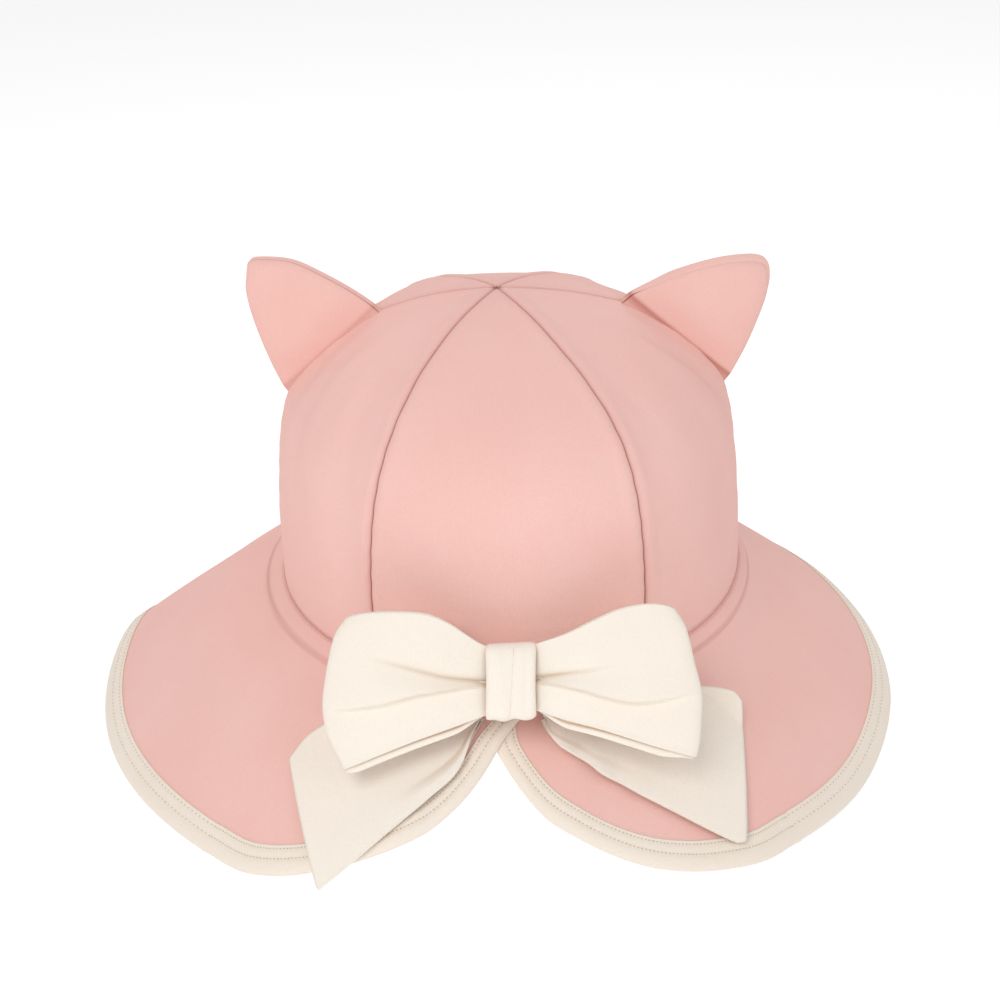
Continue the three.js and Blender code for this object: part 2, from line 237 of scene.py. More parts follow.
@dataclass(frozen=True)
class Cotton:
    """Woven cotton: matt, with fine twill lines, a soft nap and a little unevenness."""

    name: str
    colour: str
    deep: str  # painted shade in seams, creases and between threads, and the dark fibre specks
    pale: str  # where the nap catches the light
    thread: float = 0.6  # mm between twill lines, about twice the real ones, so that they show
    relief: float = 0.035  # mm
    roughness: float = 0.88
    sheen: float = 0.2

    def make(self) -> bpy.types.Material:
        """Builds the material.

        Returns:
            The material, which reads the UV map "cloth" and the attribute that holds the painted shade in
            seams and folds.
        """
        material, tree = blank(self.name)
        lay = add(tree, "ShaderNodeUVMap", uv_map="cloth").outputs["UV"]
        place = add(tree, "ShaderNodeTexCoord").outputs["Object"]
        twill = self._lines(tree, lay, math.radians(58), self.thread)
        weft = self._lines(tree, lay, 0.0, self.thread * 0.7)
        weave = add(tree, "ShaderNodeMath", {0: twill, 1: weft}, operation="ADD").outputs[0]
        fibre = add(tree, "ShaderNodeTexNoise", {"Vector": place, "Scale": 1500.0}).outputs[0]
        cloud = add(tree, "ShaderNodeTexNoise", {"Vector": place, "Scale": 30.0, "Detail": 3.0}).outputs[0]
        depths = {0: fibre, 1: 0.9, 2: weave}
        height = add(tree, "ShaderNodeMath", depths, operation="MULTIPLY_ADD").outputs[0]
        normal = add(tree, "ShaderNodeBump", {
            "Strength": 0.5, "Distance": self.relief * MM, "Height": height})
        shader = add(tree, "ShaderNodeBsdfPrincipled", {
            "Base Color": self._tint(tree, cloud, fibre, weave),
            "Roughness": self.roughness,
            "Specular IOR Level": 0.2,
            "Sheen Weight": self.sheen,
            "Sheen Roughness": 0.5,
            "Sheen Tint": linear(self.pale),
            "Normal": normal.outputs["Normal"],
        })
        add(tree, "ShaderNodeOutputMaterial", {"Surface": shader.outputs[0]})
        return material

    def _lines(self, tree: bpy.types.NodeTree, lay: bpy.types.NodeSocket, turn: float,
               gap: float) -> bpy.types.NodeSocket:
        """Ribs across the cloth, gap millimetres apart and turned by an angle."""
        turned = add(tree, "ShaderNodeMapping", {"Vector": lay, "Rotation": (0.0, 0.0, turn)})
        scale = math.tau / 20 / (gap * MM)  # a wave texture repeats every tau / 20 of its scaled length
        return add(tree, "ShaderNodeTexWave", {
            "Vector": turned.outputs[0], "Scale": scale, "Distortion": 0.7, "Detail Scale": 3.0,
        }).outputs["Fac"]

    def _tint(self, tree: bpy.types.NodeTree, cloud: bpy.types.NodeSocket, fibre: bpy.types.NodeSocket,
              weave: bpy.types.NodeSocket) -> bpy.types.NodeSocket:
        """The cloth's colour: uneven and speckled by its fibres, with painted shade between threads and in
        seams and folds.
        """
        patch = self._share(tree, cloud, 0.35, 0.7, 0.3)
        speck = self._share(tree, fibre, 0.3, 0.7, 0.07)
        # painted shade between the threads, where the weave lies low
        between = self._share(tree, weave, 1.2, 0.2, 0.08)
        # painted shade in seams and folds, as each piece gives it
        crease = add(tree, "ShaderNodeAttribute", attribute_name="crease").outputs["Fac"]
        colour = self._over(tree, patch, linear(self.colour), linear(self.pale))
        for share in (speck, between, crease):
            colour = self._over(tree, share, colour, linear(self.deep))
        return colour

    def _share(self, tree: bpy.types.NodeTree, value: bpy.types.NodeSocket, low: float, high: float,
               most: float) -> bpy.types.NodeSocket:
        """Maps low..high of a value to 0..most."""
        return add(tree, "ShaderNodeMapRange", {
            "Value": value, "From Min": low, "From Max": high, "To Max": most}).outputs[0]

    def _over(self, tree: bpy.types.NodeTree, share: bpy.types.NodeSocket, under: object,
              over: tuple[float, ...]) -> bpy.types.NodeSocket:
        """Lays one colour over another by a share."""
        return add(tree, "ShaderNodeMix", {0: share, 6: under, 7: over}, data_type="RGBA").outputs[2]


@dataclass(frozen=True)
class Thread:
    """Spun polyester sewing thread: two twisted plies with a soft gloss."""

    name: str
    colour: str
    pale: str

    def make(self) -> bpy.types.Material:
        """Builds the material.

        Returns:
            The material.
        """
        material, tree = blank(self.name)
        place = add(tree, "ShaderNodeTexCoord").outputs["Object"]
        ply = add(tree, "ShaderNodeTexNoise", {"Vector": place, "Scale": 2600.0}).outputs[0]
        shades = {0: ply, 6: linear(self.colour), 7: linear(self.pale)}
        tone = add(tree, "ShaderNodeMix", shades, data_type="RGBA")
        gloss = add(tree, "ShaderNodeMapRange", {"Value": ply, "To Min": 0.5, "To Max": 0.75})
        shader = add(tree, "ShaderNodeBsdfPrincipled", {
            "Base Color": tone.outputs[2], "Roughness": gloss.outputs[0], "Sheen Weight": 0.2})
        add(tree, "ShaderNodeOutputMaterial", {"Surface": shader.outputs[0]})
        return material


# brushed cotton twill: matt salmon pink, paler where the nap catches light, with painted brownish shade in
# seams and folds
PINK = Cotton("salmon_cotton_twill", "#F3C4BB", "#B96B5E", "#F7D3CB")
# the same twill undyed, for the bow: soft cream, with painted warm ochre shade in its folds
CREAM = Cotton("cream_cotton_twill", "#F7EEE2", "#C9A683", "#FBF5EC")
# bias tape of the cream twill, pressed flat: a shade greyer than the bow
TAPE = Cotton("cream_binding_twill", "#F1E6D9", "#C4A07F", "#F7EFE5")
# thin plain-weave cotton: off-white, finer threads and hardly any nap
LINING = Cotton("plain_lining_cotton", "#F4EBE2", "#CDBCAA", "#F9F3EC", thread=0.45, sheen=0.15)
# woven polyester satin: white with a soft gloss
SATIN = Cotton("blank_label_satin", "#F7F5F1", "#D8D4CC", "#FFFFFF", thread=0.3, roughness=0.5, sheen=0.4)
# spun polyester thread, darker than the tape, so that each stitch reads as a dash
CREAM_THREAD = Thread("cream_sewing_thread", "#BFAC94", "#D9CBB6")
# the same thread a shade deeper than the pink twill
PINK_THREAD = Thread("salmon_sewing_thread", "#D99A8E", "#EDB9AE")


# ---------------------------------------------------------------- sewing


@dataclass
class Workroom:
    """Makes cloth pieces, and keeps one material of each finish."""

    materials: dict[str, bpy.types.Material] = field(default_factory=dict)

    def finish(self, kind: Cotton | Thread) -> bpy.types.Material:
        """The material of a finish, made once."""
        if kind.name not in self.materials:
            self.materials[kind.name] = kind.make()
        return self.materials[kind.name]

    def piece(self, name: str, shape: bmesh.types.BMesh, kind: Cotton | Thread) -> bpy.types.Object:
        """Turns a finished bmesh into a smooth-shaded piece of the hat.

        Args:
            name: The piece's name.
            shape: Its mesh, in metres, which is freed.
            kind: Its finish.

        Returns:
            The new object, at the origin.
        """
        for face in shape.faces:
            face.smooth = True
        mesh = bpy.data.meshes.new(name)
        shape.to_mesh(mesh)
        shape.free()
        made = bpy.data.objects.new(name, mesh)
        bpy.context.scene.collection.objects.link(made)
        mesh.materials.append(self.finish(kind))
        LOG.info("%s: %d faces", name, len(mesh.polygons))
        return made

    def cloth(self, name: str, cuts: tuple[int, int], place: Place, size: tuple[float, float],
              kind: Cotton, thickness: float = 0.8, crease: Amount | None = None) -> bpy.types.Object:
        """A panel of cloth: a grid, each corner of it moved to its place, then thickened.

        Args:
            name: The piece's name.
            cuts: Columns and rows.
            place: Gives a corner's place, in millimetres, from its column and row shares.
            size: The cloth's real width and length in millimetres, for its weave.
            kind: Its finish.
            thickness: Its thickness in millimetres, behind the surface.
            crease: How much painted shade each corner gets in its seams and folds, from 0 to 1.

        Returns:
            The panel.
        """
        shape = bmesh.new()
        bmesh.ops.create_grid(shape, x_segments=cuts[0], y_segments=cuts[1], size=0.5)
        lay = shape.loops.layers.uv.new("cloth")
        # the layer of painted shade in seams and folds, which the finish reads
        depth = shape.verts.layers.float.new("crease")
        for face in shape.faces:
            for loop in face.loops:
                at = loop.vert.co
                loop[lay].uv = ((at.x + 0.5) * size[0] * MM, (at.y + 0.5) * size[1] * MM)
        for vert in shape.verts:
            u, v = vert.co.x + 0.5, vert.co.y + 0.5
            vert[depth] = crease(u, v) if crease else 0.0
            vert.co = place(u, v) * MM
        bmesh.ops.remove_doubles(shape, verts=shape.verts, dist=0.02 * MM)
        made = self.piece(name, shape, kind)
        wall = made.modifiers.new("thickness", "SOLIDIFY")
        wall.thickness = thickness * MM
        wall.offset = -1.0
        wall.use_even_offset = False
        return made

    def stitches(self, name: str, path: Callable[[float], tuple[Vector, Vector]], length: float, kind: Thread,
                 pitch: float = 1.8, span: float = 0.85, width: float = 0.45) -> bpy.types.Object:
        """A row of machine stitches, each a short thread with pointed ends.

        Args:
            name: The piece's name.
            path: Gives the place and outward normal at a share of the row.
            length: The row's length in millimetres.
            kind: The thread.
            pitch: Distance from stitch to stitch in millimetres.
            span: Length of the thread that shows.
            width: The thread's width.

        Returns:
            The row.
        """
        shape = bmesh.new()
        count = round(length / pitch)
        for i in range(count):
            share = (i + 0.5) / count
            here, normal = path(share)
            ahead, _ = path(min(share + 0.3 / count, 1.0))
            run = (ahead - here).normalized()
            across = normal.cross(run).normalized()
            turn = Matrix((run, across, run.cross(across))).transposed().to_4x4()
            scale = Matrix.Diagonal((span / 2 * MM, width / 2 * MM, width / 2 * MM, 1.0))
            spot = Matrix.Translation((here + normal * width * 0.1) * MM)
            bmesh.ops.create_icosphere(shape, subdivisions=1, radius=1.0, matrix=spot @ turn @ scale)
        return self.piece(name, shape, kind)


def sewn(piece: bpy.types.Object, slot: str, *nodes: str) -> None:
    """Hides the CAD nodes that a piece stands for, if there are any."""
    if nodes:
        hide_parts(*nodes)


def facing(foot: Vector) -> Vector:
    """The sloping brim's outward normal, roughly, over a place in plan."""
    return (foot.normalized() * 0.6 + Vector((0, 0, 0.8))).normalized()


# ---------------------------------------------------------------- the hat's form


@dataclass
class HatForm:
    """The surfaces that every panel is cut to."""

    seam_width: float = 80.0  # half of the head opening across
    seam_depth: float = 92.0  # half of it front to back
    seams: tuple[float, ...] = (-34.5, 32.0, 99.0, 150.0, 210.0, 261.0, 325.5)
    side_handle: tuple[float, float] = (82.3, 58.7)  # radius and height that shape the crown's side
    top_handle: tuple[float, float] = (84.0, 90.0)  # and its top
    flatness: float = 0.2  # share of a gore's roundness that its stiff seams take away
    ear_dent: float = 2.4  # how far the crown is drawn straight along each ear's root
    ear_root: tuple[float, float] = (0.43, 0.36)  # where that starts up the crown, and how long it is
    ears: tuple[float, float] = (99.0, 261.0)
    front_fall: float = 4.5  # how much lower the crown's top is at the front
    lean: float = 1.75  # the crown stands this far to the right
    nod: float = 5.5  # its top lies this far to the front
    brim_start: float = 79.0  # the brim's slope starts just inside the seam
    brim_sag: float = 0.15
    seam_below: float = 0.3  # the brim's cloth lies this far below the seam's plane
    brim_slide: float = 4.5  # the brim hangs this far to the left
    band_width: float = 4.6  # turned seam that stands up round the crown's foot
    band_rise: float = 0.9
    brim_drop: float = 48.0
    crown_height: float = field(default_factory=lambda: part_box("gore_back")[1].z / MM)
    rim: float = field(default_factory=lambda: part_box("binding_right")[1].x / MM)

    # how much higher the soft brim's rim hangs, by degrees from the back
    waves: ClassVar[dict[Side, Points]] = {
        Side.LEFT: ((0, 0), (30, 1), (52, 3.4), (75, 2.2), (90, 3.8), (104, 4.4), (113, -3), (124, -11),
                    (140, -13), (180, -5)),
        Side.RIGHT: ((0, 0), (30, 0), (48, -2.2), (62, -4), (78, -1.6), (90, -2.2), (105, -2), (120, -1),
                     (140, -3), (180, -5)),
    }

    @property
    def extra(self) -> float:
        """How much longer than wide the hat is, on each side of its middle."""
        return self.seam_depth - self.seam_width

    @property
    def reach(self) -> float:
        """The brim's width in plan."""
        return self.rim - self.brim_start

    def crown(self, angle: float, rise: float, grow: float = 0.0) -> Vector:
        """A point of the crown's dome.

        Args:
            angle: Degrees from the back.
            rise: 0 at the brim seam to 1 at the crown's top.
            grow: How far the whole crown is grown, in millimetres.

        Returns:
            The point.
        """
        handles = [(self.seam_width, 0.0), self.side_handle, self.top_handle, (0.0, self.crown_height)]
        flat = bezier([Vector(handle) for handle in handles], rise)
        radius = flat.x * (1 + grow / self.seam_width)
        height = flat.y * (1 + grow / self.crown_height)
        turn = math.radians(angle)
        depth = -radius * math.cos(turn) * self.seam_depth / self.seam_width
        fall = self.front_fall * smooth(-10, 80, depth) * smooth(0.4, 0.9, rise)
        lean = self.lean * (1 - smooth(0.5, 0.95, rise))
        nod = self.nod * smooth(0.6, 1.0, rise)
        return Vector((radius * math.sin(turn) + lean, depth + nod, height - fall))

    def drawn(self, angle: float, rise: float) -> float:
        """How far the crown is drawn inside its dome, by its stiff seams and by the ears.

        Args:
            angle: Degrees from the back, from the first seam to the last.
            rise: 0 at the brim seam to 1 at the crown's top.

        Returns:
            Millimetres inwards.
        """
        angle = min(angle, self.seams[-1])
        start, end = next(pair for pair in zip(self.seams, self.seams[1:]) if angle <= pair[1])
        share = (angle - start) / (end - start)
        arc = self.crown(90, rise).x * (1 - math.cos(math.radians(end - start) / 2))
        sag = self.flatness * arc * 4 * share * (1 - share) * smooth(0, 0.3, rise)
        root = (rise - self.ear_root[0]) / self.ear_root[1]
        dent = max(4 * root * (1 - root), 0.0) * sum(bump(ear, 24, angle) for ear in self.ears)
        return sag + self.ear_dent * dent

    def plan(self, angle: float, radius: float) -> Vector:
        """A point of the brim in plan, at a radius measured at the hat's side."""
        turn = math.radians(angle)
        return Vector((radius * math.sin(turn), -(radius + self.extra) * math.cos(turn), 0.0))

    def polar(self, x: float, y: float) -> tuple[float, float]:
        """The radius, measured at the hat's side, and degrees from the back of a point in plan."""
        cosine = -y / max(math.hypot(x, y), 1e-6)
        radius = 0.0
        for _ in range(4):
            back = -y - self.extra * cosine
            radius = math.hypot(x, back)
            cosine = back / max(radius, 1e-6)
        return radius, math.degrees(math.acos(min(max(cosine, -1.0), 1.0)))

    def slide(self, radius: float) -> float:
        """How far the hat stands to the right there: the crown a little, the brim the other way."""
        return mix(self.lean, -self.brim_slide, smooth(self.seam_width, 98, radius))

    def on_brim(self, x: float, y: float, lift: float = 0.0) -> Vector:
        """The brim's upper surface over a point in plan, raised by lift and slid sideways."""
        radius, angle = self.polar(x, y)
        share = (radius - self.brim_start) / self.reach
        fall = self.brim_drop * (share + self.brim_sag * share * (share - 1))
        edge = self.seam_width + self.band_width
        band = self.band_rise * (1 - smooth(edge - 0.3, edge + 0.5, radius))
        wave = through(self.waves[Side.LEFT if x < 0 else Side.RIGHT], angle) * max(share, 0.0)
        return Vector((x + self.slide(radius), y, band + wave + lift - fall - self.seam_below))

    def under(self, x: float, y: float) -> float:
        """The brim's height at a place, for what lies on it."""
        radius, _ = self.polar(x, y)
        return self.on_brim(x - self.slide(radius), y).z


# ---------------------------------------------------------------- crown


@dataclass
class Crown:
    """Six gores sewn to each other and to the brim, over a lining and a sweatband."""

    form: HatForm
    room: Workroom
    names: tuple[str, ...] = (
        "gore_back", "gore_back_right", "gore_front_right", "gore_front", "gore_front_left", "gore_back_left")
    soft_names: tuple[str, ...] = ("gore_back_left", "gore_back_right")  # they hang in folds
    arc: float = 150.0  # from the brim seam over the crown to its top
    tip: float = 0.9985  # the gores end in one point this far up
    seam_dip: float = 0.8
    allowance: float = 0.6  # the seam's turned cloth lifts the gore beside it
    pucker: float = 0.14
    hang: float = 1.5
    hollow: float = 1.3  # beside the back seams, half way up
    crumple: float = 0.4  # at the back gore's foot, behind the bow
    cloth: float = 0.9
    lining_inset: float = 4.6
    lining_seam: float = 0.7
    band_height: float = 28.0
    shirring: float = 60.0  # degrees each side of the back that the elastic gathers

    def build(self) -> None:
        """Makes every piece of the crown."""
        seams = self.form.seams
        for name, start, end in zip(self.names, seams, seams[1:]):
            self._gore(name, start, end)
        self._topstitch()
        self._lining()
        self._sweatband()
        self._label()

    def _gore(self, name: str, start: float, end: float) -> None:
        """One gore, drawn in along its seams, with the soft folds of its cloth."""
        form = self.form
        wide = math.radians(end - start) * form.seam_width
        folds = 1.0 if name in self.soft_names else 0.3

        def across(column: float) -> float:
            """Columns lie closer together near the seams."""
            return column - 0.148 * math.sin(math.tau * column)

        def inset(u: float, v: float) -> float:
            """Distance to the nearer seam in millimetres."""
            return min(u, 1 - u) * max(form.crown(90, v).x, 0.5) / form.seam_width * wide

        def base(u: float, v: float) -> Vector:
            """The crown's dome."""
            return form.crown(mix(start, end, u), min(max(v, 0.0), 1.0))

        def place(column: float, row: float) -> Vector:
            """The cloth, with its seams, puckers and soft folds."""
            u, v = across(column), min(row, self.tip)
            if row > self.tip:
                return form.crown(0, 1.0) - Vector((0, 0, 0.9))
            edge, flat, turn = inset(u, v), base(u, v), mix(start, end, u)
            free = 1 - math.exp(-edge / 7)
            seam = self.allowance * bump(3.0, 2.0, edge) - self.seam_dip * math.exp(-edge / 0.5)
            pucker = self.pucker * math.exp(-edge / 4) * math.sin(flat.z * 0.8) * smooth(0.05, 0.2, v)
            soft = noise.noise(flat * 0.02) * 0.8 * smooth(0, 0.15, v)
            drape = Vector((turn * 0.11 + flat.z * 0.03, flat.z * 0.012, 5.0))
            hang = noise.noise(drape) * self.hang * folds
            hang *= free * smooth(0, 0.2, v) * (1 - smooth(0.62, 0.85, v))
            if name in self.soft_names:
                hang -= self.hollow * bump(14, 8, edge) * bump(0.62, 0.2, v)
            low = noise.noise(Vector((flat.x * 0.035, 3.0, flat.z * 0.5))) * bump(14, 12, flat.z)
            crumple = self.crumple * low * free if name == "gore_back" else 0.0
            return raised(base, u, v, seam + pucker + soft + hang + crumple - form.drawn(turn, v))

        def crease(column: float, row: float) -> float:
            """Painted shade, only in the seam itself, and most of all near the brim."""
            return math.exp(-inset(across(column), row) / 0.35) * mix(1.0, 0.65, smooth(0, 0.3, row))

        made = self.room.cloth(name + "_cloth", (40, 80), place, (wide, self.arc), PINK, self.cloth, crease)
        self._sew(made, "pink_cotton", name)

    def _sew(self, made: bpy.types.Object, slot: str, *nodes: str) -> None:
        """Fixes a piece to the crown in place of its CAD nodes."""
        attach(made, "crown")
        sewn(made, slot, *nodes)

    def _topstitch(self) -> None:
        """The stitches that hold the turned seam, close to the crown's foot."""
        form = self.form

        def path(share: float) -> tuple[Vector, Vector]:
            """The row just outside the seam."""
            foot = form.plan(share * 360, form.seam_width + 0.9)
            return form.on_brim(foot.x, foot.y), facing(foot)

        girth = math.pi * (form.seam_width + form.seam_depth)
        row = self.room.stitches("crown_topstitch", path, girth, PINK_THREAD, pitch=2.2, span=1.0, width=0.3)
        self._sew(row, "pink_cotton")

    def _lining(self) -> None:
        """The lining, seamed like the crown and seen from below."""
        form = self.form
        grow = -self.lining_inset
        girth = math.pi * (form.seam_width + form.seam_depth)

        def angle(u: float) -> float:
            """Degrees from the back, within the seams."""
            turn = 360 * (1 - u)
            return turn - 360 if turn > form.seams[-1] else turn

        def to_seam(u: float) -> float:
            """Degrees to the nearest seam."""
            return min(abs((angle(u) - seam + 180) % 360 - 180) for seam in form.seams)

        def base(u: float, v: float) -> Vector:
            """The crown's dome, drawn in."""
            return form.crown(360 * (1 - u), min(max(v, 0.0), 1.0), grow)

        def place(u: float, v: float) -> Vector:
            """The lining, with its seams standing inwards."""
            if v > self.tip:
                return form.crown(0, 1.0, grow)
            loose = noise.noise(base(u, v) * 0.03) * 0.6
            seam = self.lining_seam * math.exp(-to_seam(u) * 0.9)
            return raised(base, u, v, form.drawn(angle(u), v) + seam - loose)

        def crease(u: float, v: float) -> float:
            """Painted shade in the seams."""
            return math.exp(-to_seam(u) * 2.2) * 0.8

        made = self.room.cloth("crown_lining_cloth", (180, 40), place, (girth, self.arc), LINING, 0.5, crease)
        self._sew(made, "lining_cotton", "crown_lining")

    def _sweatband(self) -> None:
        """The sweatband, gathered at the back by its elastic."""
        low, high = (corner.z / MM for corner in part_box("sweatband"))
        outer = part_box("sweatband")[1].x / MM

        def place(u: float, v: float) -> Vector:
            """The band's inner face, with rolled edges and sewn channels."""
            turn = math.radians(360 * (1 - u))
            away = abs((math.degrees(turn) + 180) % 360 - 180)
            gather = 1 - smooth(self.shirring - 8, self.shirring + 4, away)
            ripple = gather * 0.55 * math.sin(turn * 74) * math.sin(math.pi * min(v * 1.3, 1.0))
            sewn = 0.35 * (bump(0.1, 0.03, v) + bump(0.9, 0.03, v) + gather * bump(0.42, 0.03, v))
            rolled = 0.6 * (bump(0.0, 0.06, v) + bump(1.0, 0.06, v))
            radius = outer - 1.9 + ripple + sewn + rolled
            depth = radius * self.form.seam_depth / self.form.seam_width
            across = radius * math.sin(turn) + self.form.lean
            return Vector((across, -depth * math.cos(turn), mix(low, high, v)))

        length = 2 * math.pi * outer * 1.08
        made = self.room.cloth("sweatband_cloth", (360, 24), place, (length, self.band_height), CREAM, 1.2)
        self._sew(made, "cream_cotton", "sweatband", "back_elastic")

    def _label(self) -> None:
        """A blank satin label, caught in the sweatband's upper seam."""
        low, high = (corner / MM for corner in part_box("care_label"))

        def place(u: float, v: float) -> Vector:
            """The label curls a little off the band."""
            bend = 0.7 * math.sin(math.pi * v) + 0.4 * math.sin(math.pi * u)
            return Vector((mix(high.x, low.x, u), high.y + bend, mix(low.z, high.z, v)))

        wide, tall = high.x - low.x, high.z - low.z
        made = self.room.cloth("care_label_satin", (10, 14), place, (wide, tall), SATIN, 0.4)
        self._sew(made, "label_satin", "care_label")


# ---------------------------------------------------------------- brim


@dataclass
class BrimPanel:
    """One panel of the brim in plan: its edge, its foot and the flap that it folds with."""

    form: HatForm
    word: str  # left, right or front
    join: float = 132.0  # the side seam, in degrees from the back
    start: float = -7.3  # where the split leaves the crown, past the middle
    corner: float = 0.5  # share of the edge where the lobe's round corner ends
    roll: tuple[float, float] = (-9.0, 20.0)  # a fold bends from here to there past its line
    under_seam: float = 0.8  # the brim's cloth starts this far under the crown
    longer: float = 1.5  # how much lower the right lobe hangs, and the left one higher
    # the edge of a rear lobe in plan, from the crown under the bow and round the corner
    lobe: Points = (
        (-10, -91), (-5, -101), (0, -110), (7, -119.3), (15, -126.4), (26, -131.4), (40, -134.1),
        (54, -133.8), (69, -130.4), (84, -123.2), (97.5, -111.0))

    @property
    def sign(self) -> int:
        """Minus one on the left, and one on the right and in front."""
        return -1 if self.word == "left" else 1

    @property
    def nodes(self) -> list[str]:
        """The CAD nodes of the panel's cloth."""
        regions = ["rear", "left"] if self.word == "left" else [self.word]
        layers = ("upper", "interlining", "underside")
        return [f"brim_{region}_{layer}" for region in regions for layer in layers]

    @property
    def binding_nodes(self) -> list[str]:
        """The CAD nodes of the panel's binding."""
        if self.word == "front":
            return ["binding_front"]
        return [f"binding_{place}{self.word}" for place in ("", "rear_", "corner_")]

    @property
    def length(self) -> float:
        """The length of the panel's edge in millimetres."""
        points = [self.edge(i / 60) for i in range(61)]
        return sum((b - a).length for a, b in zip(points, points[1:]))

    @property
    def step(self) -> float:
        """How far this panel lies above or below the other where the lobes cross."""
        return {"left": 1.5, "right": -1.5, "front": 0.0}[self.word]

    def fold(self) -> tuple[str, Vector, Vector]:
        """The flap's body, and where its fold starts and ends, in metres."""
        low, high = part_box(f"brim_{self.word}_upper")
        if self.word == "front":
            ends = [Vector((0, low.y + step * MM, 0)) for step in self.roll]
        else:
            line = min(abs(low.x), abs(high.x))
            ends = [Vector((self.sign * (line + step * MM), 0, 0)) for step in self.roll]
        return f"{self.word}_brim", ends[0], ends[1]

    def edge(self, share: float) -> Vector:
        """The panel's edge in plan, from the split, or the left side seam, onwards."""
        form = self.form
        if self.word == "front":
            return form.plan(mix(360 - self.join, self.join, share), form.rim)
        if share < self.corner:
            flat = along(self.lobe, share / self.corner)
            longer = self.sign * self.longer * bump(50, 30, flat.x)
            return Vector((self.sign * flat.x, flat.y - longer, 0.0))
        first = math.degrees(math.asin(self.lobe[-1][0] / form.rim))
        angle = mix(first, self.join, (share - self.corner) / (1 - self.corner))
        return form.plan(self.sign * angle, form.rim)

    def foot(self, share: float) -> Vector:
        """Where the line across the panel at that share leaves the crown."""
        radius = self.form.seam_width - self.under_seam
        if self.word == "front":
            return self.form.plan(mix(360 - self.join, self.join, share), radius)
        return self.form.plan(self.sign * mix(self.start, self.join, share), radius)

    def drawn_in(self, share: float, inset: float) -> Vector:
        """The edge in plan, drawn in by inset."""
        step = 0.006
        run = self.edge(min(share + step, 1.0)) - self.edge(max(share - step, 0.0))
        inwards = Vector((-run.y, run.x, 0)) if self.word == "right" else Vector((run.y, -run.x, 0))
        return self.edge(share) + inwards.normalized() * inset

    def over(self, point: Vector, lift: float) -> Vector:
        """A point in plan, laid on the brim and raised by lift."""
        form = self.form
        radius, _ = form.polar(point.x, point.y)
        soft = noise.noise(Vector((point.x, point.y, 0)) * 0.016) * 1.2 * smooth(88, 104, radius)
        cross = self.step * (1 - smooth(12, 26, abs(point.x))) * smooth(80, 90, radius)
        return form.on_brim(point.x, point.y, lift + soft + (cross if point.y < 0 else 0.0))


